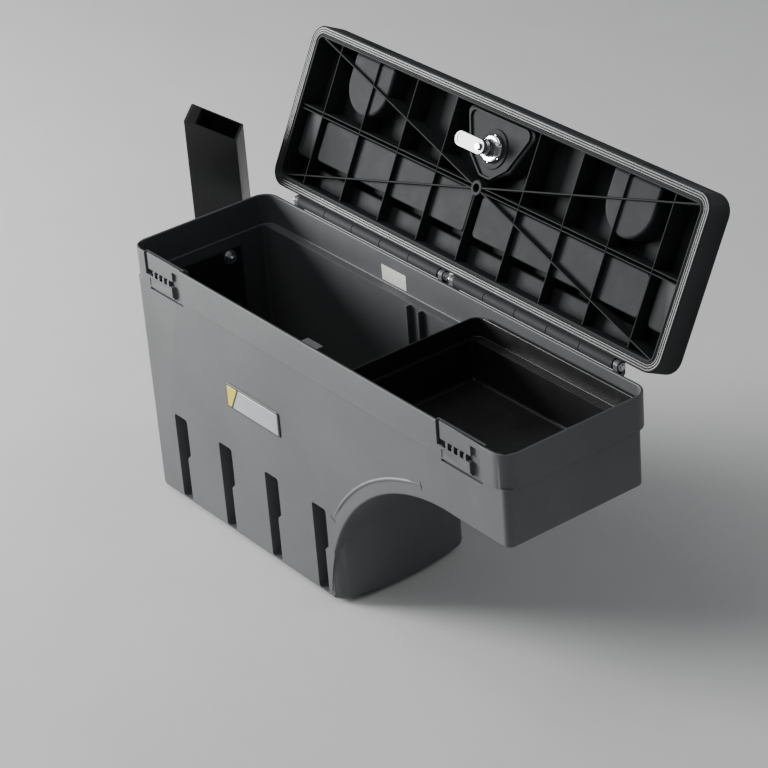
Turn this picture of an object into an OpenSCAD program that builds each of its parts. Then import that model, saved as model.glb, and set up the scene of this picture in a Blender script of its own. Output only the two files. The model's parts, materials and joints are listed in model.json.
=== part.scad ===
// Swing-out truck bed tool box: a moulded case that rides on a steel wall bracket beside the
// wheel well and turns out over the tailgate on one vertical pin.
// Millimetres. X runs along the case from its pivot end, Y from the badge face to the lid
// hinge, Z up. The model is drawn with its lid open and the case swung out.

/* [Case] */
// Length of the rim, pivot end to free end
case_l = 695; // [660:5:730]
// Width of the rim, badge face to hinge side
case_w = 202; // [196:2:220]
// Height from the base to the rim
case_h = 335; // [325:5:360]
// Height of the raised band around the rim
band_h = 43; // [40:1:46]
// Moulded wall thickness
wall = 3.5; // [3:0.25:4]
// Furthest point of the deep part's curved end wall
deep_end_x = 385; // [380:1:395]

/* [Wheel arch] */
// Distance of the arch's centre from the pivot end
arch_x = 590; // [580:2:600]
// Radius of the arch
arch_r = 232; // [226:1:236]

/* [Lid] */
// Depth of the lid
lid_h = 36; // [34:1:42]
// How far the lid has been opened
lid_open = 116; // [0:1:116]
// Radius of each cup holder in the lid
cup_r = 36; // [32:1:37]
// Distance between the lid's cross ribs
rib_pitch = 73; // [70:1:74]

/* [Tray] */
// Length of the lift-out tray
tray_l = 274; // [240:2:274]
// Height of the lift-out tray
tray_h = 76; // [60:2:80]

/* [Pivot] */
// Radius of the vertical pivot pin
pin_r = 6; // [5:0.5:6.5]
// Radial running clearance of pins in their bores
fit = 0.05; // [0.02:0.01:0.09]

/* [Lock] */
// Reach of the lock's cam from its axis
cam_reach = 42; // [40:1:43]

/* [Hidden] */
$fn = 96;
eps = 1;                          // overshoot of a cutting body
swing_out = 45;                   // angle from the full-out stop to the case, as drawn

// Case
band_z = case_h - band_h;
rim_r = 21;                       // corner radius of the rim
body_r = 9;                       // corner radius of the body below the band
step_end = 2;                     // the band stands this proud of the ends and badge face
step_hinge = 11;                  // and this proud of the hinge side
body_y0 = step_end;
body_y1 = case_w - step_hinge;
mid_y = (body_y0 + body_y1) / 2;
deep_end_r = 341;                 // plan radius of the curved end wall
deep_corner_r = 22;
arch_z = -8;
ceiling_z = arch_z + arch_r - 0.5;
block_z = 60;                     // the overhang block starts below the arch and is cut back by it

// Side pockets
slot_x = [52, 146, 240, 333];
slot_z0 = 6;
slot_z1 = 122;
slot_step_z = 70;
slot_w_low = 19;
slot_w_high = 26;
slot_depth = 16;

// Rim pockets
rim_pocket_x = [30, 583];
rim_pocket_w = 72;
rim_pocket_depth = 5.5;
rim_pocket_back = 2.5;
rim_pocket_z = case_h - 49;       // bottom of a pocket
tab_w = 54;
tab_gap = 3;
tooth_w = 4;
tooth_pitch = 10;

// Raised bead that follows the wheel arch
bead_r = arch_r + 16.5;
bead_w = 3;
bead_x = [arch_x - 202, arch_x - 42];
bead_foot = 110;

// Lugs under the tray, and ribs that hold a divider
lug_x = [440, 545];
divider_x = [296, 318];
divider_foot = 140;

// Nameplate and inside label: lowest and highest corner, along X and up
badge = [178, 185, 283, 217];
badge_t = 1;
badge_rim = 3;
label = [232, case_h - 36, 278, case_h - 16];
label_t = 0.3;

// Lid hinge
hinge_x = [198, case_l - 198];
hinge_y = case_w + 6.5;
hinge_z = case_h + 4;
knuckle_r = 7;
ear_r = 6;                        // under the distance from the hinge to the lid's wall
lid_pin_r = 3;
ear_w = 8;
knuckle_w = 270;
ear_gap = 0.5;
pin_half = knuckle_w / 2 + ear_gap + ear_w;
pin_over = 2.5;                   // the pins stand this far past the ears
lid_pin_head_r = 4.6;
retainer_r = 5;

// Lid
lid_z = case_h + 0.4;
lid_top = lid_z + lid_h;
flange_w = 14;
flange_h = 7;
rib_t = 2.5;
skin_z = lid_top - wall;
cup_x = [case_l / 2 - 230, case_l / 2 + 230];
cup_y = 45;
cup_floor = lid_z + 10;
grip_w = 34;
grip_y = [98, 162];
grip_floor = lid_z + 16;
tray_rest_y = [case_w / 2 + 4, case_w - 45];      // shallow rests in the lid's top
tray_rest_x = [[59, case_l / 2 - 6.5], [case_l / 2 + 6.5, case_l - 59]];
tray_rest_floor = lid_z + 13;
step_y = case_w - 36;             // stepped band beside the lid hinge
step_x = 60;
step_floor = lid_z + 23;
lock_x = case_l / 2;
lock_y = 54;
dish_r = 30;
dish_floor = lid_z + 12;
dish_seat = dish_floor + wall;
lock_hole_r = 9.6;
barrel_lock_r = 9.5;              // the lock body's threaded barrel
plug_r = 6;
nut_hex_r = 17;

// Lock's cam, and the striker it turns under
cam_z = case_h - 11.5;
cam_t = 3;
striker_z = case_h - 5.5;
striker_half = 14;
striker_screw_x = 9;
striker_h = 24;
striker_t = 2;
striker_reach = 10;
striker_screw_z = striker_z - 16;
striker_screw_r = 2;
pad_half = 26;
pad_y = 8;

// Tray
tray_x1 = case_l - 7;
tray_x0 = tray_x1 - tray_l;
tray_top = case_h - 13;
tray_t = 2.5;
ledge_z = band_z + wall;
tray_shoulder = ledge_z + 0.2;    // the tray's rim part stands on the ledge
tray_base = tray_top - tray_h;
tray_rim_y = [9, 195];
tray_body_y = [16, 183];

// Pivot and wall bracket. The bracket stands at 45 degrees to the case as drawn.
pivot_x = -36;
pivot_y = 180;
post_half = 25;                   // half the channel's width along the bed
post_in = -12;                    // inboard face, from the pivot towards the bed wall
post_out = 46;                    // inner face of the wall plate
plate_t = 4;
sheet_t = 3;
low_window = [56, 156];
high_window = [244, 288];
post_foot = 20;
post_top_in = 408;
post_top_out = 436;
web_t = 4;
barrel_r = 10.5;
bush_r = 8;
bush_l = 12.5;
bush_inset = 0.5;                 // the bushes stand this far inside the barrel's ends
nose_r = 30;
web_r = 16;
index_hole_r = 4.3;
latch_off = 22;                   // latch axis from the pivot axis
latch_travel = 8;
pin_foot = low_window[0] - web_t - 10;
pin_head = high_window[1] + web_t;
pin_cross_z = pin_foot + 5;
pin_head_r = 8.5;
clip_r = 1.2;
clip_half = 11;

// Hinge plate on the case's end wall, its bolts, arms and barrels
plate_x0 = -1;
plate_x1 = step_end;
plate_y0 = 40;
plate_z = [44, 286];
backing_x = step_end + wall;
backing_t = 3;
backing_y = [46, 150];
backing_z = [50, 282];
hinge_bolt_y = [62, 132];
hinge_bolt_z = [62, 200, 272];
hinge_bolt_r = 4;
bolt_head_r = 9;
bolt_head_t = 3;
nut_r = 7.5;
nut_t = 6;
nut_flange_t = 1.5;
low_arms = [66, 140];
high_arms = [250, 278];
arm_t = 4;
arm_latch_r = 10;                 // half width of the lower arm where it carries the latch
low_barrel = [low_window[0] + 1.3, low_window[1] - 1];
high_barrel = [high_window[0] + 1.3, high_window[1] - 1];

// Swing latch and its spring
latch_rod_r = 4;
latch_base = low_arms[0] + arm_t;
latch_cap = latch_base + 30;
collar_z = latch_base + 3;
collar_t = 3;
collar_r = 7;
housing_r = 9.5;
housing_bore = 7.6;
housing_cap = 4;
knob_r = 9;
knob_foot = latch_cap + 9;
spring_turns = 6;
spring_steps = 14;
spring_wire = 0.7;
spring_coil = 6;
spring_sides = 8;

// Wall bolts
wall_bolt_z = [200, 350];
wall_bolt_r = 4.5;
wall_bolts = [
    pivot_x - (post_out + plate_t) * sin(swing_out),
    pivot_y - (post_out + plate_t) * cos(swing_out),
    (wall_bolt_z[0] + wall_bolt_z[1]) / 2
];

// Moves the drawing so that the origin is the centre of the bracket's wall bolts.
module placed() {
    translate(-wall_bolts) children();
}

// Carries a closed lid's parts to the open lid.
module opened() {
    placed()
    translate([0, hinge_y, hinge_z])
    rotate([-lid_open, 0, 0])
    translate([0, -hinge_y, -hinge_z])
    children();
}

// Bracket axes: X towards the bed wall, Y towards the cab, Z up, centred on the pivot.
module at_bracket() {
    placed()
    translate([pivot_x, pivot_y, 0])
    rotate([0, 0, 180 + swing_out])
    mirror([0, 1, 0])
    children();
}

module at_pivot() {
    placed()
    translate([pivot_x, pivot_y, 0])
    children();
}

module round_rect(x0, y0, x1, y1, r) {
    translate([x0 + r, y0]) square([x1 - x0 - 2 * r, y1 - y0]);
    translate([x0, y0 + r]) square([x1 - x0, y1 - y0 - 2 * r]);
    for (x = [x0 + r, x1 - r], y = [y0 + r, y1 - r])
        translate([x, y]) circle(r);
}

module prism(x0, y0, x1, y1, r, z0, z1) {
    translate([0, 0, z0]) linear_extrude(z1 - z0) round_rect(x0, y0, x1, y1, r);
}

// A band between two rounded outlines, inset a and b from the rim.
module rim_ring(a, b, z0, z1) {
    difference() {
        prism(a, a, case_l - a, case_w - a, rim_r - a, z0, z1);
        prism(b, b, case_l - b, case_w - b, max(rim_r - b, 5), z0 - eps, z1 + eps);
    }
}

module box(lo, hi) {
    translate(lo) cube(hi - lo);
}

module tube(r_out, r_in, z0, z1) {
    translate([0, 0, z0]) difference() {
        cylinder(h = z1 - z0, r = r_out);
        translate([0, 0, -eps]) cylinder(h = z1 - z0 + 2 * eps, r = r_in);
    }
}

module rod(r, z0, z1) {
    translate([0, 0, z0]) cylinder(h = z1 - z0, r = r);
}

module rod_x(r, x0, x1, y, z, fn = 64) {
    translate([x0, y, z]) rotate([0, 90, 0]) cylinder(h = x1 - x0, r = r, $fn = fn);
}

module rod_y(r, y0, y1, x, z, fn = 64) {
    translate([x, y1, z]) rotate([90, 0, 0]) cylinder(h = y1 - y0, r = r, $fn = fn);
}

// Plan of the deep part, with its bowed end wall, inset by i.
module deep_plan(i) {
    round_rect(step_end + i, body_y0 + i, 300, body_y1 - i, body_r - i);
    intersection() {
        round_rect(200, body_y0 + i, deep_end_x - i, body_y1 - i, deep_corner_r - i);
        translate([deep_end_x - deep_end_r, mid_y]) circle(deep_end_r - i, $fn = 256);
    }
}

// The body below the band, inset by i and carried up to z1.
module body_form(i, z1) {
    translate([0, 0, i]) linear_extrude(z1 - i) deep_plan(i);
    difference() {
        prism(250, body_y0 + i, case_l - step_end - i, body_y1 - i, body_r - i, block_z, z1);
        rod_y(arch_r + i, -eps, case_w + eps, arch_x, arch_z, 200);
        box([arch_x, -eps, 0], [case_l + eps, case_w + eps, ceiling_z + i]);
    }
}

// Raised bead that follows the wheel arch across a long face.
module arch_bead(y0, y1) {
    intersection() {
        difference() {
            rod_y(bead_r + bead_w, y0, y1, arch_x, arch_z, 200);
            rod_y(bead_r, y0 - eps, y1 + eps, arch_x, arch_z, 200);
        }
        box([bead_x[0], y0, bead_foot], [bead_x[1], y1, case_h]);
    }
}

module slot_backs(y0, y1) {
    for (x = slot_x)
        box([x - wall, y0, 1], [x + slot_w_high + wall, y1, slot_z1 + wall]);
}

module slot_cuts(y0, y1) {
    for (x = slot_x) {
        box([x, y0, slot_step_z], [x + slot_w_high, y1, slot_z1]);
        box([x, y0, slot_z0], [x + slot_w_low, y1, slot_step_z + eps]);
    }
}

// One rim pocket's cuts: a recessed toothed panel over a sprung tab, with open gaps around it.
module rim_pocket_cut(x) {
    tab_x1 = x + tab_w;
    pocket_x1 = x + rim_pocket_w;
    tooth_z = rim_pocket_z + 20;
    tooth_top = tooth_z + 7;
    box([x + tab_gap, -eps, tooth_top - 1], [pocket_x1, 2, case_h + eps]);
    box([x, -eps, tooth_z], [x + tab_gap, rim_pocket_depth, case_h + eps]);
    box([tab_x1, -eps, rim_pocket_z], [pocket_x1, rim_pocket_depth, rim_pocket_z + 40]);
    box([x + tab_gap, -eps, rim_pocket_z], [tab_x1 + eps, rim_pocket_depth, rim_pocket_z + tab_gap]);
    difference() {
        box([x, -eps, tooth_z], [tab_x1 + eps, rim_pocket_depth, tooth_top]);
        for (k = [1:4])
            translate([x + tooth_pitch * k + tab_gap, 1, tooth_z + 2])
                cube([tooth_w, rim_pocket_depth, 5]);
    }
}

// Hinge ears on the far side of the band, to either side of the lid's knuckle.
module hinge_ears() {
    for (x = hinge_x, side = [-1, 1]) {
        ear_x = x + side * (knuckle_w / 2 + ear_gap + ear_w / 2) - ear_w / 2;
        rod_x(ear_r, ear_x, ear_x + ear_w, hinge_y, hinge_z);
        translate([ear_x, 0, 0])
            rotate([90, 0, 90]) linear_extrude(ear_w) polygon([
                [case_w - 2, case_h - 26],
                [hinge_y + ear_r, hinge_z - 12],
                [hinge_y + ear_r, hinge_z],
                [case_w + 0.5, hinge_z],
                [case_w + 0.5, case_h - 2],
                [case_w - 2, case_h - 2]
            ]);
    }
}

module hinge_bolt_holes(x0, x1) {
    for (y = hinge_bolt_y, z = hinge_bolt_z)
        rod_x(hinge_bolt_r + 0.1, x0, x1, y, z);
}

module tub() {
    placed()
    color([0.16, 0.16, 0.165])
    difference() {
        union() {
            difference() {
                union() {
                    body_form(0, band_z);
                    prism(0, 0, case_l, case_w, rim_r, band_z, case_h);
                }
                body_form(wall, case_h + eps);
                prism(wall, wall, case_l - wall, case_w - wall, rim_r - wall, ledge_z, case_h + eps);
            }
            slot_backs(body_y0 + 1, body_y0 + slot_depth + wall);
            slot_backs(body_y1 - slot_depth - wall, body_y1 - 1);
            arch_bead(body_y0 - 0.8, body_y0 + 1);
            arch_bead(body_y1 - 1, body_y1 + 0.8);
            for (x = rim_pocket_x)
                box([x - wall, 3, rim_pocket_z - 3],
                    [x + rim_pocket_w + wall, rim_pocket_depth + rim_pocket_back, case_h]);
            hinge_ears();
            // Pad behind the striker, and lugs that carry the tray
            box([lock_x - pad_half, 2, striker_z - 32], [lock_x + pad_half, pad_y, striker_z]);
            for (x = lug_x)
                box([x, wall, ledge_z - 12], [x + 16, 14.5, ledge_z]);
            // Two upright ribs that hold a divider
            for (x = divider_x)
                box([x, body_y1 - 10, divider_foot], [x + 3, body_y1 - 2, ledge_z]);
        }
        slot_cuts(-eps, body_y0 + slot_depth);
        slot_cuts(body_y1 - slot_depth, case_w + eps);
        for (x = rim_pocket_x)
            rim_pocket_cut(x);
        for (x = hinge_x)
            rod_x(lid_pin_r + fit, x - pin_half - eps, x + pin_half + eps, hinge_y, hinge_z);
        hinge_bolt_holes(0, 10);
        for (side = [-1, 1])
            rod_y(striker_screw_r + 0.1, 4.2, pad_y + eps,
                lock_x + side * striker_screw_x, striker_screw_z);
    }
}

// A flat arm from the hinge plate out to the barrel; the lower ones also reach the latch.
module arm(z, with_latch) {
    translate([0, 0, z]) difference() {
        union() {
            box([pivot_x, pivot_y - barrel_r, 0], [plate_x0 + eps, body_y1, arm_t]);
            translate([pivot_x, pivot_y, 0]) cylinder(h = arm_t, r = barrel_r);
            if (with_latch) {
                box([pivot_x, pivot_y - latch_off - arm_latch_r, 0], [plate_x0 + eps, pivot_y, arm_t]);
                translate([pivot_x, pivot_y - latch_off, 0]) cylinder(h = arm_t, r = arm_latch_r);
            }
        }
        translate([pivot_x, pivot_y, -eps]) cylinder(h = arm_t + 2 * eps, r = bush_r);
        if (with_latch)
            translate([pivot_x, pivot_y - latch_off, -eps])
                cylinder(h = arm_t + 2 * eps, r = latch_rod_r + fit);
    }
}

module hinge_plate() {
    placed()
    color([0.1, 0.1, 0.11])
    union() {
        difference() {
            box([plate_x0, plate_y0, plate_z[0]], [plate_x1, body_y1 - body_r, plate_z[1]]);
            hinge_bolt_holes(-5, 5);
        }
        for (z = low_arms)
            arm(z, z == low_arms[0]);
        for (z = high_arms)
            arm(z, false);
        translate([pivot_x, pivot_y, 0]) {
            tube(barrel_r, bush_r, low_barrel[0], low_barrel[1]);
            tube(barrel_r, bush_r, high_barrel[0], high_barrel[1]);
        }
    }
}

module backing_plate() {
    placed()
    color([0.12, 0.12, 0.13])
    difference() {
        box([backing_x, backing_y[0], backing_z[0]], [backing_x + backing_t, backing_y[1], backing_z[1]]);
        hinge_bolt_holes(0, 20);
    }
}

module hinge_bolts() {
    placed()
    color([0.62, 0.63, 0.65])
    for (y = hinge_bolt_y, z = hinge_bolt_z) {
        rod_x(hinge_bolt_r, plate_x0, backing_x + backing_t + 10, y, z);
        rod_x(bolt_head_r, plate_x0 - bolt_head_t, plate_x0, y, z);
    }
}

module hinge_nuts() {
    seat = backing_x + backing_t;
    placed()
    color([0.62, 0.63, 0.65])
    for (y = hinge_bolt_y, z = hinge_bolt_z)
        difference() {
            union() {
                rod_x(nut_r, seat, seat + nut_t, y, z, 6);
                rod_x(bolt_head_r, seat, seat + nut_flange_t, y, z);
            }
            rod_x(hinge_bolt_r + 0.05, backing_x, backing_x + 20, y, z);
        }
}

// Plain bushes at both ends of each barrel
module pivot_bushes() {
    at_pivot()
    color([0.85, 0.84, 0.8])
    for (b = [low_barrel, high_barrel]) {
        tube(bush_r - 0.01, pin_r + fit, b[0] + bush_inset, b[0] + bush_inset + bush_l);
        tube(bush_r - 0.01, pin_r + fit, b[1] - bush_inset - bush_l, b[1] - bush_inset);
    }
}

module thrust_washers() {
    at_pivot()
    color([0.75, 0.72, 0.6])
    for (w = [low_window, high_window])
        tube(barrel_r, pin_r + 0.3, w[0] + 0.2, w[0] + 1.2);
}

module latch_housing() {
    at_pivot()
    color([0.6, 0.6, 0.62])
    translate([0, -latch_off, 0]) {
        tube(housing_r, housing_bore, latch_base, latch_cap - housing_cap);
        tube(housing_r, latch_rod_r + fit, latch_cap - housing_cap, latch_cap);
    }
}

module latch_plunger() {
    at_pivot()
    color([0.7, 0.7, 0.72])
    translate([0, -latch_off, 0]) {
        rod(latch_rod_r, low_window[0] + 0.3, knob_foot + 17);
        rod(collar_r, collar_z, collar_z + collar_t);
    }
}

module latch_knob() {
    at_pivot()
    color([0.08, 0.08, 0.08])
    translate([0, -latch_off, 0])
    difference() {
        union() {
            rod(knob_r - 3, knob_foot, knob_foot + 3);
            rod(knob_r, knob_foot + 3, knob_foot + 16);
            rod(knob_r - 1.5, knob_foot + 16, knob_foot + 19);
        }
        rod(latch_rod_r + 0.01, latch_cap, knob_foot + 17);
    }
}

// Compression spring, swept along a helix with plain ends.
module latch_spring() {
    z0 = collar_z + collar_t + spring_wire + 0.1;
    z1 = latch_cap - housing_cap - spring_wire - 0.1;
    rings = spring_turns * spring_steps;
    points = [
        for (i = [0:rings], k = [0:spring_sides - 1])
            let (a = 360 * i / spring_steps, b = 360 * k / spring_sides)
            let (r = spring_coil + spring_wire * cos(b))
            [r * cos(a), r * sin(a), z0 + (z1 - z0) * i / rings + spring_wire * sin(b)]
    ];
    sides = [
        for (i = [0:rings - 1], k = [0:spring_sides - 1])
            let (n = (k + 1) % spring_sides, p = i * spring_sides, q = p + spring_sides)
            [p + k, q + k, q + n, p + n]
    ];
    first = [for (k = [0:spring_sides - 1]) k];
    last = [for (k = [spring_sides - 1:-1:0]) rings * spring_sides + k];
    at_pivot()
    color([0.75, 0.75, 0.77])
    translate([0, -latch_off, 0])
    polyhedron(points, concat([first], sides, [last]));
}

module badge_plate() {
    placed()
    color([0.75, 0.76, 0.78])
    translate([0, body_y0, 0])
    rotate([90, 0, 0])
    difference() {
        linear_extrude(badge_t + 0.4) round_rect(badge[0], badge[1], badge[2], badge[3], 3);
        translate([0, 0, badge_t]) linear_extrude(eps)
            round_rect(badge[0] + badge_rim, badge[1] + badge_rim,
                badge[2] - badge_rim, badge[3] - badge_rim, 1.5);
    }
}

module interior_label() {
    placed()
    color([0.85, 0.85, 0.83])
    box([label[0], case_w - wall - label_t, label[1]], [label[2], case_w - wall, label[3]]);
}

module striker_plate() {
    placed()
    color([0.7, 0.7, 0.72])
    difference() {
        union() {
            translate([lock_x - striker_half, pad_y, striker_z - striker_h])
                cube([2 * striker_half, striker_t, striker_h]);
            translate([lock_x - striker_half, pad_y, striker_z - striker_t])
                cube([2 * striker_half, striker_reach, striker_t]);
        }
        for (side = [-1, 1])
            rod_y(striker_screw_r + 0.1, pad_y - eps, pad_y + 3,
                lock_x + side * striker_screw_x, striker_screw_z);
    }
}

module striker_screws() {
    placed()
    color([0.7, 0.7, 0.72])
    for (side = [-1, 1]) {
        screw_x = lock_x + side * striker_screw_x;
        head_y = pad_y + striker_t;
        rod_y(striker_screw_r, 4.4, head_y, screw_x, striker_screw_z);
        rod_y(1.9 * striker_screw_r, head_y, head_y + 1.6, screw_x, striker_screw_z);
    }
}

module lid_hinge_pins() {
    placed()
    color([0.7, 0.7, 0.72])
    for (x = hinge_x) {
        rod_x(lid_pin_r, x - pin_half - pin_over, x + pin_half + pin_over, hinge_y, hinge_z);
        rod_x(lid_pin_head_r, x - pin_half - pin_over, x - pin_half - ear_gap, hinge_y, hinge_z);
    }
}

module pin_retainers() {
    placed()
    color([0.55, 0.55, 0.57])
    for (x = hinge_x)
        difference() {
            rod_x(retainer_r, x + pin_half + ear_gap, x + pin_half + ear_gap + 1, hinge_y, hinge_z);
            rod_x(lid_pin_r + 0.02, x, x + 2 * pin_half, hinge_y, hinge_z);
        }
}

// Outline of the lock dish: a rounded point that widens to the free edge, inset by i.
module dish_outline(i) {
    centre = [lock_x, lock_y];
    corner = [66 - i, 36 - i];
    reach = norm(corner);
    turn = atan2(-corner[1], corner[0]) + acos((dish_r - i) / reach);
    side = (dish_r - i) * [cos(turn), sin(turn)];
    translate(centre) {
        circle(dish_r - i);
        polygon([[-corner[0], -corner[1]], [corner[0], -corner[1]], [side[0], side[1]], [-side[0], side[1]]]);
    }
}

module lid_ribs() {
    rib_z = lid_z + 4;
    far = case_w - flange_w + eps;
    near = flange_w - eps;
    box([near, case_w / 2 - rib_t / 2, rib_z], [case_l - near, case_w / 2 + rib_t / 2, skin_z + eps]);
    for (k = [-4:4]) {
        x = case_l / 2 + k * rib_pitch - rib_t / 2;
        box([x, k == 0 ? 86 : near, rib_z], [x + rib_t, far, skin_z + eps]);
    }
    run = [case_l / 2 - flange_w, case_w / 2 - flange_w];
    for (turn = [atan2(run[1], run[0]), -atan2(run[1], run[0])])
        translate([case_l / 2, case_w / 2, rib_z])
        rotate([0, 0, turn])
        translate([-norm(run), -rib_t / 2, 0])
        cube([2 * norm(run), rib_t, skin_z + eps - rib_z]);
    translate([case_l / 2, case_w / 2, rib_z]) cylinder(h = skin_z - rib_z + eps, r = 8);
}

module lid_shell() {
    opened()
    color([0.13, 0.13, 0.135])
    difference() {
        union() {
            difference() {
                prism(0, 0, case_l, case_w, rim_r, lid_z, lid_top);
                prism(wall, wall, case_l - wall, case_w - wall, rim_r - wall, lid_z - eps, skin_z);
            }
            rim_ring(1, flange_w, lid_z, lid_z + flange_h);
            rim_ring(flange_w - 2, flange_w, lid_z, skin_z + eps);
            lid_ribs();
            for (x = cup_x)
                translate([x, cup_y, cup_floor - 3]) cylinder(h = skin_z - cup_floor + 4, r = cup_r + 3);
            for (x = [flange_w, case_l - flange_w - grip_w - 3])
                prism(x, grip_y[0], x + grip_w + 3, grip_y[1], 8, grip_floor - 3, skin_z + eps);
            for (r = tray_rest_x)
                prism(r[0], tray_rest_y[0], r[1], tray_rest_y[1], 6, tray_rest_floor - 3, skin_z + eps);
            box([step_x, step_y, step_floor - 3], [case_l - step_x, case_w - flange_w + eps, skin_z + eps]);
            translate([0, 0, dish_floor]) linear_extrude(skin_z + eps - dish_floor) dish_outline(0);
            for (x = hinge_x)
                lid_knuckle(x);
        }
        for (x = cup_x)
            translate([x, cup_y, cup_floor]) cylinder(h = lid_h, r = cup_r);
        for (x = [flange_w + 3, case_l - flange_w - grip_w])
            prism(x, grip_y[0] + 3, x + grip_w - 3, grip_y[1] - 3, 6, grip_floor, lid_top + eps);
        for (r = tray_rest_x)
            prism(r[0] + 3, tray_rest_y[0] + 3, r[1] - 3, tray_rest_y[1] - 3, 4,
                tray_rest_floor, lid_top + eps);
        prism(step_x + 3, step_y + 3, case_l - step_x - 3, case_w - 17, 4, step_floor, lid_top + eps);
        translate([0, 0, dish_seat]) linear_extrude(lid_h) dish_outline(3);
        translate([0, 0, lid_z - eps]) linear_extrude(dish_floor - lid_z + eps) difference() {
            dish_outline(0);
            square([case_l, flange_w]);
        }
        translate([lock_x, lock_y, lid_z]) cylinder(h = lid_h, r = lock_hole_r);
        rim_ring(1.5, 9.5, lid_z - eps, lid_z + 4);
        translate([case_l / 2, case_w / 2, lid_z]) cylinder(h = 20, r = 5);
        for (x = hinge_x)
            rod_x(lid_pin_r + fit, x - pin_half - eps, x + pin_half + eps, hinge_y, hinge_z);
    }
}

module lid_knuckle(x) {
    rod_x(knuckle_r, x - knuckle_w / 2, x + knuckle_w / 2, hinge_y, hinge_z);
    box([x - knuckle_w / 2, case_w - 1, hinge_z - 2], [x + knuckle_w / 2, hinge_y, hinge_z + knuckle_r]);
    box([x - knuckle_w / 2, case_w - 1, hinge_z - 2], [x + knuckle_w / 2, hinge_y - 3, hinge_z + 14]);
}

module lid_gasket() {
    opened()
    color([0.05, 0.05, 0.05])
    rim_ring(1.6, 9.4, lid_z + 0.1, lid_z + 3.9);
}

module at_lock() {
    opened() translate([lock_x, lock_y, 0]) children();
}

module lock_body() {
    at_lock()
    color([0.75, 0.75, 0.77])
    difference() {
        union() {
            rod(barrel_lock_r, lid_z - 4, dish_seat);
            rod(13, dish_seat, dish_seat + 2);
            rod(11.5, dish_seat + 2, dish_seat + 3.5);
        }
        rod(plug_r + fit, lid_z - 5, dish_seat + 5);
    }
}

module lock_nut() {
    at_lock()
    color([0.85, 0.86, 0.88])
    difference() {
        translate([0, 0, dish_floor - 6.2]) cylinder(h = 5, r = nut_hex_r, $fn = 6);
        rod(barrel_lock_r + 0.05, dish_floor - 8, dish_floor);
    }
}

module lock_washer() {
    at_lock()
    color([0.7, 0.7, 0.72])
    tube(nut_hex_r - 1, barrel_lock_r + 0.2, dish_floor - 1.1, dish_floor - 0.1);
}

module lock_plug() {
    at_lock()
    color([0.8, 0.8, 0.82])
    difference() {
        union() {
            rod(plug_r, lid_z - 5, dish_seat + 2.5);
            rod(8, cam_z + cam_t, lid_z - 4.2);
        }
        box([-0.6, -3.5, dish_seat - 8], [0.6, 3.5, dish_seat + 4]);
        rod(2.05, cam_z, cam_z + 14);
    }
}

module lock_cam() {
    at_lock()
    color([0.82, 0.83, 0.85])
    translate([0, 0, cam_z]) linear_extrude(cam_t) difference() {
        union() {
            circle(9);
            translate([-cam_reach + 4, -9]) square([cam_reach - 4, 18]);
            translate([-cam_reach, -5]) square([cam_reach, 10]);
            for (side = [-1, 1])
                translate([-cam_reach + 4, 5 * side]) circle(4);
        }
        circle(2.2);
    }
}

module cam_screw() {
    at_lock()
    color([0.7, 0.7, 0.72]) {
        rod(2, cam_z - 0.1, cam_z + 12);
        translate([0, 0, cam_z - 3]) cylinder(h = 3, r = 4.5, $fn = 6);
    }
}

// Open tray with a stepped skirt whose shoulder stands on the case's ledge.
module tray_form(i) {
    prism(tray_x0 + 4 + i, tray_body_y[0] + i, tray_x1 - 8 - i, tray_body_y[1] - i, 8 - i,
        tray_base + i, tray_shoulder + 3);
    prism(tray_x0 + i, tray_rim_y[0] + i, tray_x1 - i, tray_rim_y[1] - i, 14 - i,
        tray_shoulder + i, tray_top + (i > 0 ? eps : 0));
}

module tray() {
    placed()
    color([0.05, 0.05, 0.055])
    difference() {
        tray_form(0);
        tray_form(tray_t);
    }
}

// Channel outline, open towards the wall plate
module channel() {
    translate([post_in, -post_half]) difference() {
        square([post_out - post_in, 2 * post_half]);
        translate([sheet_t, sheet_t]) square([post_out, 2 * (post_half - sheet_t)]);
    }
}

module pivot_post() {
    at_bracket()
    color([0.06, 0.06, 0.065]) {
        translate([0, 0, post_foot]) linear_extrude(low_window[0] - web_t - post_foot) channel();
        translate([0, 0, low_window[1] + web_t])
            linear_extrude(high_window[0] - low_window[1] - 2 * web_t) channel();
        difference() {
            translate([0, 0, high_window[1] + web_t]) linear_extrude(200) channel();
            translate([0, post_half + eps, 0])
                rotate([90, 0, 0]) linear_extrude(2 * post_half + 2 * eps) polygon([
                    [post_in - eps, post_top_in],
                    [post_out + eps, post_top_out],
                    [post_out + eps, 600],
                    [post_in - eps, 600]
                ]);
        }
    }
}

module wall_plate() {
    at_bracket()
    color([0.06, 0.06, 0.065])
    difference() {
        box([post_out, -post_half, post_foot], [post_out + plate_t, post_half, post_top_out]);
        for (z = wall_bolt_z)
            rod_x(wall_bolt_r, post_out - eps, post_out + plate_t + eps, 0, z);
    }
}

// Four plates that carry the pin; the lowest has a round nose with the latch's two holes.
module pivot_webs() {
    at_bracket()
    color([0.07, 0.07, 0.075])
    for (z = [low_window[0] - web_t, low_window[1], high_window[0] - web_t, high_window[1]])
        translate([0, 0, z]) difference() {
            union() {
                box([post_in, -post_half, 0], [post_out, post_half, web_t]);
                if (z < low_window[0])
                    cylinder(h = web_t, r = nose_r);
                else
                    cylinder(h = web_t, r = web_r);
            }
            translate([0, 0, -eps]) cylinder(h = web_t + 2 * eps, r = pin_r + fit);
            if (z < low_window[0])
                for (side = [-1, 1])
                    translate([side * latch_off, 0, -eps]) cylinder(h = web_t + 2 * eps, r = index_hole_r);
        }
}

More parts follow.
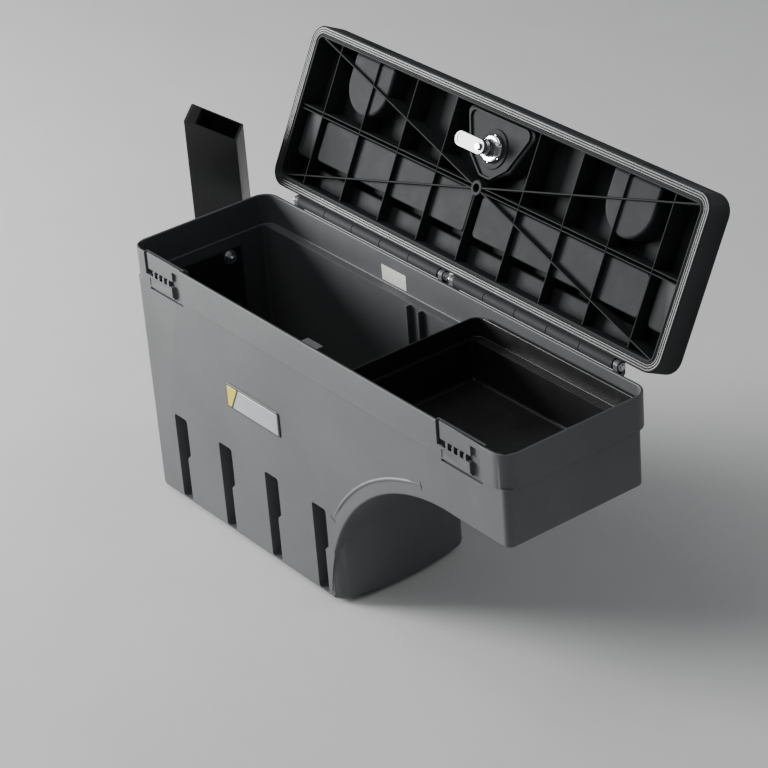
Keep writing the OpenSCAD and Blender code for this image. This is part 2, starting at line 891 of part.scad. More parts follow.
module pivot_pin() {
    at_bracket()
    color([0.72, 0.73, 0.75])
    difference() {
        union() {
            rod(pin_r, pin_foot, pin_head + 2);
            rod(pin_head_r, pin_head + 0.1, pin_head + 6);
        }
        rod_y(clip_r + 0.1, -20, 20, 0, pin_cross_z);
    }
}

module pin_clip() {
    at_bracket()
    color([0.72, 0.73, 0.75]) {
        rod_y(clip_r, -clip_half, clip_half, 0, pin_cross_z);
        rod_y(clip_r + 1, clip_half, clip_half + 2, 0, pin_cross_z);
    }
}

wall_plate();
pivot_post();
pivot_webs();
pivot_pin();
pin_clip();
tub();
hinge_plate();
backing_plate();
hinge_bolts();
hinge_nuts();
pivot_bushes();
thrust_washers();
latch_housing();
latch_spring();
badge_plate();
interior_label();
striker_plate();
striker_screws();
lid_hinge_pins();
pin_retainers();
lid_shell();
lid_gasket();
lock_body();
lock_nut();
lock_washer();
lock_plug();
lock_cam();
cam_screw();
tray();
latch_plunger();
latch_knob();
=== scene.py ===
import math
import bmesh
import bpy
from mathutils import Matrix, Vector
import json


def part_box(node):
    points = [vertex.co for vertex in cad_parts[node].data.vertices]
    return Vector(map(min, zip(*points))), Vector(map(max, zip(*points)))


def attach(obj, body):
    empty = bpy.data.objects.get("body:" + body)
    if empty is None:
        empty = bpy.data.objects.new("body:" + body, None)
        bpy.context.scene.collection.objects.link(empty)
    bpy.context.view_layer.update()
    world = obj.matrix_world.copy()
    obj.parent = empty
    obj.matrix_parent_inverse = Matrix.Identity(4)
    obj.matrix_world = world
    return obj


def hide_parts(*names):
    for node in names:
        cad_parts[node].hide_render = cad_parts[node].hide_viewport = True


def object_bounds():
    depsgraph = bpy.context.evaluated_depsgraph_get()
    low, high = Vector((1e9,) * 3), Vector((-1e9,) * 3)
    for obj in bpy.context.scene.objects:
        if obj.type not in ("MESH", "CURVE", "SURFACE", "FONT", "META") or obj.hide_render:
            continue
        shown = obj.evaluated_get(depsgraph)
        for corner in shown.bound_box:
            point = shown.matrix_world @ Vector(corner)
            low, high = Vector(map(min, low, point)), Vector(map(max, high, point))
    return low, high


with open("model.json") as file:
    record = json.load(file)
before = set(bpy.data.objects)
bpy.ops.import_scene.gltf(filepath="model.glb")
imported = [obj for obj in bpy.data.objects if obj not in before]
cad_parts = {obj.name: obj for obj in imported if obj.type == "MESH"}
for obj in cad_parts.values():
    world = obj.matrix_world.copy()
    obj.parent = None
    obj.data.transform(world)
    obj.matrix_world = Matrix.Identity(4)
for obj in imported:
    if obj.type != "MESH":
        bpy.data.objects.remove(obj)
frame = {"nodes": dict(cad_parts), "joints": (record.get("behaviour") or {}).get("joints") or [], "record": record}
cad_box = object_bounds()
record = frame["record"]
joints = {j["name"]: j for j in frame["joints"]}

# Case frame: millimetres, X from the pivot end, Y from the badge face, Z from the base.
case_low, case_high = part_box("tub")
CASE = Matrix.Translation(case_low) @ Matrix.Scale(0.001, 4)

LENGTH, WIDTH, HEIGHT = 695.0, 202.0, 335.0
CENTRE = LENGTH / 2
WALL = 3.5
RIM_R = 21.0             # corner radius of the rim and of the lid
BAND_Z = 292.0           # foot of the raised band
FACE_Y, BACK_Y = 2.0, 191.0
END_INSET = 2.0
ARCH = (590.0, -8.0)     # centre of the wheel arch
ARCH_R = 232.0
CEILING_Z = 223.5

# The lid's hinge: two knuckles, each between two ears on its own pin.
HINGE_XS = (198, LENGTH - 198)
KNUCKLE_HALF = 135       # half of a knuckle's width
EAR_W, EAR_GAP = 8, 0.5
PIN_REACH = 145          # half of the bore through a knuckle and its ears
PIN_BORE_R = 3.05

# Lid frame: the same X and Y on the closed lid, Z up from its underside, carried to the open lid.
LID_H = 36.0
LID_SKIN = LID_H - WALL
LID_GAP = 0.4
FLANGE = 14.0
hinge = CASE.inverted() @ Vector(joints["lid_hinge"]["pos_m"])
opening = math.radians(joints["lid_hinge"]["range_deg"][0])
LID = (CASE @ Matrix.Translation((0, hinge.y, hinge.z)) @ Matrix.Rotation(opening, 4, "X")
       @ Matrix.Translation((0, -hinge.y, HEIGHT + LID_GAP - hinge.z)))


# ---------------------------------------------------------------- mesh tools

LEAST_R = 0.3            # the smallest corner radius that an inset leaves a rounded rectangle
MERGE = 0.01             # points closer than this are merged before edges are rounded


def arc(x, y, radius, start, end, steps=6):
    """Points along an arc, in degrees."""
    turns = [math.radians(start + (end - start) * k / steps) for k in range(steps + 1)]
    return [(x + radius * math.cos(t), y + radius * math.sin(t)) for t in turns]


def rect(x0, y0, x1, y1, radius, steps=6):
    """A rounded rectangle, counter-clockwise, as a function of its inset."""
    def outline(inset):
        r = max(radius - inset, LEAST_R)
        left, right, low, high = x0 + inset + r, x1 - inset - r, y0 + inset + r, y1 - inset - r
        return (arc(right, high, r, 0, 90, steps) + arc(left, high, r, 90, 180, steps)
                + arc(left, low, r, 180, 270, steps) + arc(right, low, r, 270, 360, steps))
    return outline


def polygon(corners, radius, steps=4):
    """A counter-clockwise polygon with filleted corners, as a function of its inset."""
    corners = [Vector(c) for c in corners]
    count = len(corners)

    def turned(vector):
        return Vector((-vector.y, vector.x))

    def outline(inset):
        moved = []
        for k in range(count):
            n1 = turned((corners[k] - corners[k - 1]).normalized())
            n2 = turned((corners[(k + 1) % count] - corners[k]).normalized())
            moved.append(corners[k] + (n1 + n2) / (1 + n1.dot(n2)) * inset)
        points = []
        for k in range(count):
            before, here, after = moved[k - 1], moved[k], moved[(k + 1) % count]
            d1, d2 = (here - before).normalized(), (after - here).normalized()
            sign = 1 if d1.cross(d2) > 0 else -1
            turn = d1.angle(d2)
            r = max(radius - sign * inset, 0.25)
            room = 0.48 * min((here - before).length, (after - here).length)
            cut = min(r * math.tan(turn / 2), room)
            r = cut / math.tan(turn / 2)
            centre = here - d1 * cut + turned(d1) * r * sign
            arm = turned(d1) * -sign * r
            for s in range(steps + 1):
                points.append(tuple(centre + Matrix.Rotation(sign * turn * s / steps, 2) @ arm))
        return points
    return outline


def levels(z0, z1, low=0.0, high=0.0, draft=0.0, steps=3):
    """(inset, height) pairs up a form, rounded by low and high at its ends and drawn in by draft."""
    quarter = [k / steps * math.pi / 2 for k in range(steps + 1)]
    foot = [(0, z0)]
    head = [(draft, z1)]
    if low:
        foot = [(low * (1 - math.sin(a)), z0 + low * (1 - math.cos(a))) for a in quarter]
    if high:
        head = [(draft + high * (1 - math.cos(a)), z1 - high * (1 - math.sin(a))) for a in quarter]
    return foot + head


def mesh_object(name, verts, faces):
    """Links a new mesh object, with its doubled points merged and its faces turned outward."""
    mesh = bpy.data.meshes.new(name)
    mesh.from_pydata(verts, [], faces)
    made = bpy.data.objects.new(name, mesh)
    bpy.context.scene.collection.objects.link(made)
    bm = bmesh.new()
    bm.from_mesh(mesh)
    bmesh.ops.remove_doubles(bm, verts=bm.verts, dist=1e-4)
    bmesh.ops.recalc_face_normals(bm, faces=bm.faces)
    bm.to_mesh(mesh)
    bm.free()
    return made


def loft(name, rings, loop=False):
    """A closed form through rings of equally many points: capped at both ends, or joined end to start."""
    count = len(rings[0])
    verts = [p for ring in rings for p in ring]
    faces = []
    for r in range(len(rings) if loop else len(rings) - 1):
        a, b = r * count, (r + 1) % len(rings) * count
        faces += [(a + k, a + (k + 1) % count, b + (k + 1) % count, b + k) for k in range(count)]
    if not loop:
        faces.append(tuple(reversed(range(count))))
        faces.append(tuple(range((len(rings) - 1) * count, len(rings) * count)))
    return mesh_object(name, verts, faces)


def form(name, shape, steps, axis="Z", loop=False):
    """Lofts an outline through (inset, height) steps along an axis. Along Y the outline is in X and Z."""
    places = {
        "X": lambda a, b, h: (h, a, b),
        "Y": lambda a, b, h: (a, h, b),
        "Z": lambda a, b, h: (a, b, h),
    }
    place = places[axis]
    return loft(name, [[place(a, b, h) for a, b in shape(inset)] for inset, h in steps], loop)


def block(name, low, high, radius=0.5, axis="Z", edge=0.0, draft=0.0):
    """A box between two corners, with rounded edges along the axis."""
    across, up, along = {"X": (1, 2, 0), "Y": (0, 2, 1), "Z": (0, 1, 2)}[axis]
    a0, b0, h0 = low[across], low[up], low[along]
    a1, b1, h1 = high[across], high[up], high[along]
    return form(name, rect(a0, b0, a1, b1, radius, 3), levels(h0, h1, 0, edge, draft), axis)


def rod(name, radius, axis, a, b, h0, h1, sides=40, edge=0.0):
    """A round bar along an axis through (a, b)."""
    def outline(inset):
        return arc(a, b, radius - inset, 0, 360 - 360 / sides, sides - 1)
    return form(name, outline, levels(h0, h1, edge, edge), axis)


def lathe(name, x, y, profile, sides=64):
    """A ring: a closed (radius, z) profile turned about an upright axis."""
    return loft(name, [[(px, py, z) for px, py in arc(x, y, r, 0, 360 - 360 / sides, sides - 1)]
                       for r, z in profile], loop=True)


def rib(name, start, end, root, tip, root_half, tip_half):
    """A drafted rib with a rounded tip, from height root to height tip."""
    start, end = Vector(start), Vector(end)
    across = Vector((-(end - start).y, (end - start).x)).normalized()
    inward = tip_half if root > tip else -tip_half
    profile = [(-root_half, root)]
    profile += [(-tip_half * math.cos(math.radians(a)), tip + inward * (1 - math.sin(math.radians(a))))
                for a in range(0, 181, 30)]
    profile.append((root_half, root))
    return loft(name, [[(*(point + across * w), z) for w, z in profile] for point in (start, end)])


def bake(obj):
    """Applies an object's modifiers."""
    graph = bpy.context.evaluated_depsgraph_get()
    mesh = bpy.data.meshes.new_from_object(obj.evaluated_get(graph))
    obj.modifiers.clear()
    obj.data = mesh


def combine(base, others, operation):
    """Joins or cuts base with all the others in one boolean. Each of them has to be a closed form."""
    group = bpy.data.collections.new("group")
    for other in others:
        group.objects.link(other)
    step = base.modifiers.new("combine", "BOOLEAN")
    step.operation = operation
    step.operand_type = "COLLECTION"
    step.collection = group
    step.solver = "MANIFOLD"
    bake(base)
    for other in others:
        bpy.data.objects.remove(other)
    bpy.data.collections.remove(group)
    return base


def soften(obj, width, angle=35, segments=2):
    """Rounds the edges that are sharper than angle."""
    bm = bmesh.new()
    bm.from_mesh(obj.data)
    bmesh.ops.remove_doubles(bm, verts=bm.verts, dist=MERGE)
    bm.to_mesh(obj.data)
    bm.free()
    edge = obj.modifiers.new("edge", "BEVEL")
    edge.width = width
    edge.segments = segments
    edge.limit_method = "ANGLE"
    edge.angle_limit = math.radians(angle)
    edge.use_clamp_overlap = False
    bake(obj)


def round_edges(obj, radius, chosen, angle=50, segments=3):
    """Rounds the chosen sharp edges, picked by the place of their middle."""
    bm = bmesh.new()
    bm.from_mesh(obj.data)
    edges = [e for e in bm.edges if e.is_manifold and e.calc_face_angle() > math.radians(angle)
             and chosen((e.verts[0].co + e.verts[1].co) / 2)]
    bmesh.ops.bevel(bm, geom=edges, offset=radius, segments=segments, profile=0.5, affect="EDGES",
                    clamp_overlap=False)
    bm.to_mesh(obj.data)
    bm.free()


def finish(obj, place, material, slot, body, *nodes):
    """Puts a finished mesh in the row frame on its body, with its material, and hides the nodes it stands for."""
    obj.data.transform(place)
    for face in obj.data.polygons:
        face.use_smooth = True
    obj.data.set_sharp_from_angle(angle=math.radians(40))
    obj.data.materials.clear()
    obj.data.materials.append(FINISHES[material])
    even = obj.modifiers.new("even", "WEIGHTED_NORMAL")
    even.keep_sharp = True
    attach(obj, body)
    if nodes:
        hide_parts(*nodes)
    return obj


# ---------------------------------------------------------------- materials

def noise(tree, coords, scale, detail=3.0, rough=0.5, stretch=None):
    """A noise texture's grey output on object coordinates, with scale in cycles per metre."""
    source = coords
    if stretch:
        mapping = tree.nodes.new("ShaderNodeMapping")
        mapping.inputs["Scale"].default_value = stretch
        tree.links.new(coords, mapping.inputs["Vector"])
        source = mapping.outputs["Vector"]
    texture = tree.nodes.new("ShaderNodeTexNoise")
    texture.inputs["Scale"].default_value = scale
    texture.inputs["Detail"].default_value = detail
    texture.inputs["Roughness"].default_value = rough
    tree.links.new(source, texture.inputs["Vector"])
    return texture.outputs["Fac"]


def span(tree, value, low, high, start=0.3, end=0.7):
    """Carries a grey value from start..end to low..high."""
    node = tree.nodes.new("ShaderNodeMapRange")
    node.inputs["From Min"].default_value = start
    node.inputs["From Max"].default_value = end
    node.inputs["To Min"].default_value = low
    node.inputs["To Max"].default_value = high
    tree.links.new(value, node.inputs["Value"])
    return node.outputs["Result"]


def mixed(tree, factor, a, b):
    """Mixes two colours, each a tuple or an output."""
    node = tree.nodes.new("ShaderNodeMix")
    node.data_type = "RGBA"
    tree.links.new(factor, node.inputs["Factor"])
    for socket, value in ((node.inputs["A"], a), (node.inputs["B"], b)):
        if isinstance(value, tuple):
            socket.default_value = (*value, 1.0)
        else:
            tree.links.new(value, socket)
    return node.outputs["Result"]


def shade(colour, k):
    """A colour made lighter or darker by a factor."""
    return tuple(c * k for c in colour)


def surface(name, colour, rough, metal=0.0, grain=600.0, bump=0.0003, spread=0.12,
            rough_spread=0.06, stretch=None, dust=0.0, edge_highlight=0.0, specular=0.5):
    """A procedural finish: fine grain in height and colour, broad tone changes, dust, and a painted highlight on
    sharp edges.
    """
    material = bpy.data.materials.new(name)
    material.use_nodes = True
    tree = material.node_tree
    links = tree.links
    shader = tree.nodes["Principled BSDF"]
    coords = tree.nodes.new("ShaderNodeTexCoord").outputs["Object"]
    fine = noise(tree, coords, grain, 4.0, 0.6, stretch)
    broad = noise(tree, coords, 9.0, 3.0)
    tone = mixed(tree, span(tree, broad, 0.0, 1.0), shade(colour, 1 - spread), shade(colour, 1 + spread))
    tone = mixed(tree, span(tree, fine, 0.0, 0.35), tone, shade(colour, 1 - 2 * spread))
    rubs = noise(tree, coords, 38.0, 8.0, 0.75)
    pale = tuple(0.45 * c + 0.12 for c in colour)
    if dust:
        tone = mixed(tree, span(tree, rubs, 0.0, dust, 0.55, 0.75), tone, pale)
    # Pointy convex edges are mixed towards the pale colour: a painted highlight along the edges.
    if edge_highlight:
        edges = tree.nodes.new("ShaderNodeNewGeometry").outputs["Pointiness"]
        tone = mixed(tree, span(tree, edges, 0.0, edge_highlight, 0.53, 0.62), tone, pale)
    links.new(tone, shader.inputs["Base Color"])
    links.new(span(tree, rubs, rough - rough_spread, rough + rough_spread), shader.inputs["Roughness"])
    shader.inputs["Metallic"].default_value = metal
    shader.inputs["Specular IOR Level"].default_value = specular
    relief = tree.nodes.new("ShaderNodeBump")
    relief.inputs["Strength"].default_value = 1.0
    relief.inputs["Distance"].default_value = bump
    links.new(fine, relief.inputs["Height"])
    links.new(relief.outputs["Normal"], shader.inputs["Normal"])
    return material


# The edge value in a finish sets how strongly its sharp edges are painted lighter: a painted highlight.
FINISHES = {
    "case_plastic": surface("case_plastic", (0.088, 0.09, 0.093), 0.5, grain=900, bump=0.00014,
                            dust=0.2, edge_highlight=0.3),
    "lid_plastic": surface("lid_plastic", (0.03, 0.031, 0.0325), 0.62, grain=900, bump=0.0001,
                           dust=0.14, edge_highlight=0.5, specular=0.1),
    "tray_plastic": surface("tray_plastic", (0.014, 0.014, 0.015), 0.38, grain=700, bump=0.0001,
                            dust=0.1, edge_highlight=0.2),
    "gasket_rubber": surface("gasket_rubber", (0.034, 0.034, 0.035), 0.42, grain=1500, bump=0.00008,
                             edge_highlight=0.2),
    "black_steel": surface("black_steel", (0.014, 0.014, 0.015), 0.38, grain=1100, bump=0.00012,
                           dust=0.12, edge_highlight=0.2),
    "zinc_steel": surface("zinc_steel", (0.6, 0.61, 0.62), 0.33, metal=1.0, grain=500, bump=0.00004),
    "pin_steel": surface("pin_steel", (0.62, 0.63, 0.65), 0.24, metal=1.0, grain=300, bump=0.00003,
                         stretch=(1, 1, 40)),
    "chrome": surface("chrome", (0.66, 0.67, 0.68), 0.16, metal=1.0, grain=250, bump=0.00001,
                      rough_spread=0.05, spread=0.03),
    "spring_steel": surface("spring_steel", (0.5, 0.5, 0.52), 0.28, metal=1.0, grain=800, bump=0.00002),
    "bush_polymer": surface("bush_polymer", (0.66, 0.64, 0.56), 0.5, grain=900, bump=0.00005),
    "washer_bronze": surface("washer_bronze", (0.56, 0.4, 0.2), 0.32, metal=1.0, grain=500, bump=0.00003),
    "cam_silver": surface("cam_silver", (0.3, 0.3, 0.3), 0.42, metal=0.8, grain=400, bump=0.00002,
                          spread=0.04),
    "badge_silver": surface("badge_silver", (0.42, 0.43, 0.44), 0.36, metal=0.4, grain=700, bump=0.00003,
                            stretch=(1, 1, 12)),
    "badge_black": surface("badge_black", (0.02, 0.02, 0.02), 0.3, grain=900, bump=0.00004),
    "badge_yellow": surface("badge_yellow", (0.62, 0.5, 0.03), 0.35, grain=900, bump=0.00003),
    "label_white": surface("label_white", (0.68, 0.68, 0.65), 0.5, grain=600, bump=0.00003),
    "knob_black": surface("knob_black", (0.018, 0.018, 0.018), 0.3, grain=800, bump=0.00005),
}


# ---------------------------------------------------------------- case

SLOTS = [52, 146, 240, 333]              # left edges of the side pockets
SLOT_DEPTH = 16.0
SLOT_W, SLOT_FOOT_W = 26, 19             # width of a side pocket's upper and lower part
SLOT_FOOT, SLOT_STEP, SLOT_TOP = 6, 66, 122      # heights: foot, top of the narrow part, top
POCKETS = [30, 583]                      # left edges of the rim pockets
POCKET_W, POCKET_H, POCKET_DEPTH = 72, 49, 5.5
POCKET_GAP = 3                           # open gap round the sprung tab
STRIP_W, STRIP_H = 55, 7                 # the toothed strip over the tab
TOOTH_STEP, TOOTH_COUNT = 10, 4
BODY_R = 9                               # corner radius of the body below the band
FOOT_ROUND = 7                           # rounding of the body's lowest edge
OVER_X = 250                             # the part over the wheel arch starts here, inside the deep part
OVER_FOOT, OVER_FLOOR = 14, 101          # its foot, for the outside and for the inside
BOW_R, BOW_END, BOW_CORNER = 341.0, 385.0, 22.0
BOLT_YS, BOLT_ZS, BOLT_R = (62, 132), (62, 200, 272), 4.1
CREASE = ((247, -0.3), (248.4, 0.75), (249.6, 1.0), (250.8, 0.75), (252.2, -0.3))    # (radius, rise)


def deep_plan(inset):
    """The deep part's plan: square at the pivot end, bowed at the other."""
    middle, half = (FACE_Y + BACK_Y) / 2, (BACK_Y - FACE_Y) / 2
    offset = math.sqrt((BOW_R - BOW_CORNER) ** 2 - (half - BOW_CORNER) ** 2)
    turn = math.degrees(math.atan2(half - BOW_CORNER, offset))
    bow_x = BOW_END - BOW_R
    corner_x, corner_y = bow_x + offset, half - BOW_CORNER
    r = BODY_R - inset
    x0, y0, y1 = END_INSET + BODY_R, FACE_Y + BODY_R, BACK_Y - BODY_R
    return (arc(x0, y0, r, 180, 270, 5)
            + arc(corner_x, middle - corner_y, BOW_CORNER - inset, -90, -turn, 8)
            + arc(bow_x, middle, BOW_R - inset, -turn, turn, 24)[1:-1]
            + arc(corner_x, middle + corner_y, BOW_CORNER - inset, turn, 90, 8)
            + arc(x0, y1, r, 90, 180, 5))


def arch_cutter(name, inset):
    """The wheel arch's space right across the case, made larger by inset."""
    radius = ARCH_R + inset
    ceiling = CEILING_Z + inset
    top = math.degrees(math.asin((ceiling - ARCH[1]) / radius))
    curve = arc(*ARCH, radius, top, 184, 56)
    corners = curve + [(curve[-1][0], -60), (LENGTH + 60, -60), (LENGTH + 60, ceiling)]
    return loft(name, [[(x, y, z) for x, z in reversed(corners)] for y in (-40, WIDTH + 40)])


def body_solid(name, inset, top, foot):
    """The body below the band, drawn in by inset. The part over the wheel arch starts at foot."""
    deep = form(name, deep_plan, [(inset + i, z) for i, z in levels(inset, top, FOOT_ROUND)])
    plan = rect(OVER_X, FACE_Y, LENGTH - END_INSET, BACK_Y, BODY_R)
    over = form("over", plan, [(inset, foot), (inset, top)])
    combine(over, [arch_cutter("arch", inset)], "DIFFERENCE")
    return combine(deep, [over], "UNION")


def keyhole(x):
    """A side pocket's outline: a wide upper part stepped to a narrow lower part."""
    right, foot_right = x + SLOT_W, x + SLOT_FOOT_W
    slope_top = SLOT_STEP + SLOT_W - SLOT_FOOT_W
    return polygon([(x, SLOT_FOOT), (foot_right, SLOT_FOOT), (foot_right, SLOT_STEP), (right, slope_top),
                    (right, SLOT_TOP), (x, SLOT_TOP)], 3.5)


def side_pockets():
    """Cuts for the side pockets in both long faces."""
    front = [(-1.2, -2), (0, FACE_Y + 0.4), (0.6, FACE_Y + SLOT_DEPTH)]
    back = [(0.6, BACK_Y - SLOT_DEPTH), (0, BACK_Y - 0.4), (-1.2, WIDTH + 1)]
    cuts = []
    for x in SLOTS:
        cuts.append(form("front", keyhole(x), front, "Y"))
        cuts.append(form("back", keyhole(x), back, "Y"))
    return cuts


def pocket_backs():
    """Bosses inside the case behind the side pockets and the rim pockets."""
    front = levels(FACE_Y + 1, FACE_Y + SLOT_DEPTH + WALL, 0, 2, 0.5)
    back_face = BACK_Y - SLOT_DEPTH - WALL
    back = [(2.5, back_face), (1.3, back_face + 0.5), (0.5, back_face + 2), (0, BACK_Y - 1)]
    foot = HEIGHT - POCKET_H - 3
    made = []
    for x in SLOTS:
        shape = rect(x - WALL, SLOT_FOOT - 2, x + SLOT_W + WALL, SLOT_TOP + WALL, 5, 4)
        made.append(form("boss", shape, front, "Y"))
        made.append(form("boss", shape, back, "Y"))
    for x in POCKETS:
        made.append(block("boss", (x - WALL, 3, foot), (x + POCKET_W + WALL, 8, HEIGHT - 0.6), 1, "Y", 1))
    return made


def rim_pocket_cuts(x):
    """One rim pocket: a toothed strip over a sprung tab, with open gaps around it."""
    foot, right = HEIGHT - POCKET_H, x + POCKET_W
    teeth, strip_right = foot + 20, x + STRIP_W
    inner, depth = x + POCKET_GAP, POCKET_DEPTH
    cuts = [
        block("panel", (inner, -1, teeth + 6), (right, 2, HEIGHT + 1), 0.6, "Y"),
        block("gap", (x, -1, teeth), (inner, depth, HEIGHT + 1), 0.6, "Y"),
        block("gap", (strip_right - 1, -1, foot), (right, depth, foot + 40), 1.5, "Y"),
        block("gap", (inner, -1, foot), (strip_right, depth, foot + POCKET_GAP), 0.6, "Y"),
    ]
    strip = block("strip", (x, -1, teeth), (strip_right, depth, teeth + STRIP_H), 0.6, "Y")
    solid_teeth = []
    for k in range(1, TOOTH_COUNT + 1):
        left = x + TOOTH_STEP * k + 3
        low, high = (left, 1, teeth - 1), (left + 4, 7, teeth + STRIP_H + 1)
        solid_teeth.append(block("tooth", low, high, 0.6, "Y"))
    cuts.append(combine(strip, solid_teeth, "DIFFERENCE"))
    cuts.append(block("field", (x + 7, -1, foot + 6), (x + 50, 0.7, foot + 17), 1.2, "Y"))
    return cuts


def hinge_ears():
    """Ears on the far side of the band, at both ends of each hinge knuckle."""
    near, far, top = hinge.y - 5.8, hinge.y + 6, hinge.z + 6      # near stays clear of the closed lid
    shape = polygon([(WIDTH - 2, HEIGHT - 26), (far, hinge.z - 10), (far, top),
                     (near, top), (near, HEIGHT - 4), (WIDTH - 2, HEIGHT - 7)], 5, 6)
    half, edge = EAR_W / 2, 0.6
    made = []
    for x in HINGE_XS:
        for side in (-1, 1):
            middle = x + side * (KNUCKLE_HALF + EAR_GAP + half)
            steps = [(edge, middle - half), (0, middle - half + edge),
                     (0, middle + half - edge), (edge, middle + half)]
            made.append(form("ear", shape, steps, "X"))
    return made


def arch_crease(y0, y1):
    """The raised crease that follows the wheel arch on a long face, fading out at both ends."""
    rings = []
    reach = arc(*ARCH, 1, 150, 100, 40)
    for k, (cx, cz) in enumerate(reach):
        dx, dz = cx - ARCH[0], cz - ARCH[1]
        height = (y0 - y1) * min(1, 0.15 + k / 5, 0.15 + (len(reach) - 1 - k) / 5)
        rings.append([(ARCH[0] + dx * r, y1 + height * rise, ARCH[1] + dz * r) for r, rise in CREASE])
    return loft("crease", rings)


def band_profile():
    """The rim band in section, as (inset, height): outer face, rounded rim, inner face and ledge."""
    foot, top, ledge = BAND_Z, HEIGHT, BAND_Z + WALL
    return [(1.4, foot), (0.4, foot + 0.4), (0.0, foot + 1.4),
            (0.0, top - 0.9), (0.3, top - 0.3), (0.9, top), (2.4, top), (3.1, top - 0.3), (3.5, top - 1.2),
            (3.5, ledge + 1.5), (3.9, ledge + 0.5), (4.9, ledge), (20.0, ledge), (20.0, foot)]


outer = body_solid("tub_shell", 0, BAND_Z + 2, OVER_FOOT)
round_edges(outer, 2.4, lambda middle: 70 < middle.z < BAND_Z)
band = form("band", rect(0, 0, LENGTH, WIDTH, RIM_R, 10), band_profile(), loop=True)
combine(outer, [band], "UNION")
combine(outer, [body_solid("inside", WALL, HEIGHT + 10, OVER_FLOOR)], "DIFFERENCE")
lugs = [block("lug", (x, WALL - 1, BAND_Z - 8.5), (x + 16, 14.5, BAND_Z + WALL - 0.1), 1.5, "X")
        for x in (440, 545)]
ribs = [block("rib", (x, BACK_Y - 10, 140), (x + 3, BACK_Y - 2, BAND_Z + 2), 0.8) for x in (296, 318)]
pad = block("pad", (CENTRE - 26, 2, HEIGHT - 37.5), (CENTRE + 26, 8, HEIGHT - 5.5), 3, "Y", 1)
creases = [arch_crease(FACE_Y - 1.1, FACE_Y), arch_crease(BACK_Y + 1.1, BACK_Y)]
combine(outer, pocket_backs() + lugs + ribs + [pad] + creases + hinge_ears(), "UNION")
holes = [rod("hole", BOLT_R, "X", y, z, -2, 10) for y in BOLT_YS for z in BOLT_ZS]
bores = [rod("bore", PIN_BORE_R, "X", hinge.y, hinge.z, x - PIN_REACH, x + PIN_REACH) for x in HINGE_XS]
screws = [rod("hole", 2.1, "Y", CENTRE + side * 9, HEIGHT - 21.5, 4.2, 9) for side in (-1, 1)]
rim_cuts = [cut for x in POCKETS for cut in rim_pocket_cuts(x)]
combine(outer, side_pockets() + rim_cuts + holes + bores + screws, "DIFFERENCE")
soften(outer, 0.55, 38, 2)
finish(outer, CASE, "case_plastic", "case_plastic", "case", "tub")


# ---------------------------------------------------------------- lid

CUPS = (CENTRE - 230, CENTRE + 230)
CUP_Y, CUP_R = 45.0, 36.0
RIB_PITCH = 73.0         # distance between the cross ribs
RIB_TIP = 4.0
LONG_RIB_YS = (98.6, 103.4)
LOCK_Y = 54.0
HUB_Y = WIDTH / 2
CROWN_R, SKIN_R = 7, 5   # rounding of the lid's top edge, outside and inside
GRIP_W = 37
REST_X = 59              # the long recesses start this far from the lid's ends
REST_GAP = 6.5           # half of the bar between them
STEP_X = 60              # the stepped recess by the hinge
DISH, BORDER = (66, 38), (58, 32)        # half widths at the free edge and at the shoulder
CUP_FACE, GRIP_FACE, REST_FACE, STEP_FACE, DISH_FACE = 7, 13, 10, 20, 12
CUP_FLOOR, GRIP_FLOOR, REST_FLOOR, STEP_FLOOR, DISH_FLOOR = 10, 16, 13, 23, 15.5
KNUCKLE_R = 7
KNUCKLE_JOINTS = (-81, -27, 27, 81)      # places of the gaps along a knuckle


def crown(inset, top, radius, degrees):
    """(inset, height) steps round the edge under a flat top."""
    turns = [math.radians(t) for t in degrees]
    return [(inset + radius * (1 - math.cos(a)), top - radius + radius * math.sin(a)) for a in turns]


def flange_profile():
    """The lid's rim in section, as (inset, height): skirt, gasket groove, bright inner bead, inner wall."""
    return [(0.4, 3.0), (0.4, 0.5), (0.9, 0.0), (1.5, 0.0), (1.5, 4.0), (9.5, 4.0), (9.5, 0.0),
            (10.2, 0.0), (10.6, 0.9), (11.4, 0.9), (11.9, 0.0), (13.4, 0.0), (14.0, 0.6), (14.6, 8.0),
            (15.2, 33.0), (11.6, 33.0), (11.6, 8.0), (2.0, 8.0)]


def bulge(name, shape, face, edge=4.0, draft=1.8):
    """A form that stands down from the lid's skin to a rounded face."""
    steps = [(draft + i, z) for i, z in levels(face, face + edge, edge)]
    return form(name, shape, steps + [(0, LID_SKIN + 1)])


def recess(name, shape, floor, wall=3.0, lip=1.5):
    """The recess in the lid's top over a bulge, with a rounded floor and mouth."""
    steps = [(wall + i, z) for i, z in levels(floor, floor + 3, 3)]
    mouth = [(wall, LID_H - lip), (wall - lip, LID_H + 0.01), (wall - lip, LID_H + 2)]
    return form(name, shape, steps + mouth)


def cup_shape(x):
    """A cup holder's underside: round, with straight sides down to the free edge."""
    r, corner = CUP_R + 4, 6
    corner_y = FLANGE + 5

    def outline(inset):
        return (arc(x, CUP_Y, r - inset, 0, 180, 28)
                + arc(x - r + corner, corner_y, corner - inset, 180, 270, 3)
                + arc(x + r - corner, corner_y, corner - inset, 270, 360, 3))
    return outline


def cup_mouth(x):
    """A cup holder's mouth, which the recess draws in to CUP_R."""
    return lambda inset: arc(x, CUP_Y, CUP_R + 3 - inset, 0, 354, 59)


def dish_shape(reach, width, grow=0.0):
    """The lock dish: a rounded point towards the hub that widens to the free edge."""
    edge, shoulder, point = 18 - grow, 70 + grow, 88 + grow
    return polygon([(CENTRE - reach, edge), (CENTRE + reach, edge), (CENTRE + width, shoulder),
                    (CENTRE + 9, point), (CENTRE - 9, point), (CENTRE - width, shoulder)], 9, 5)


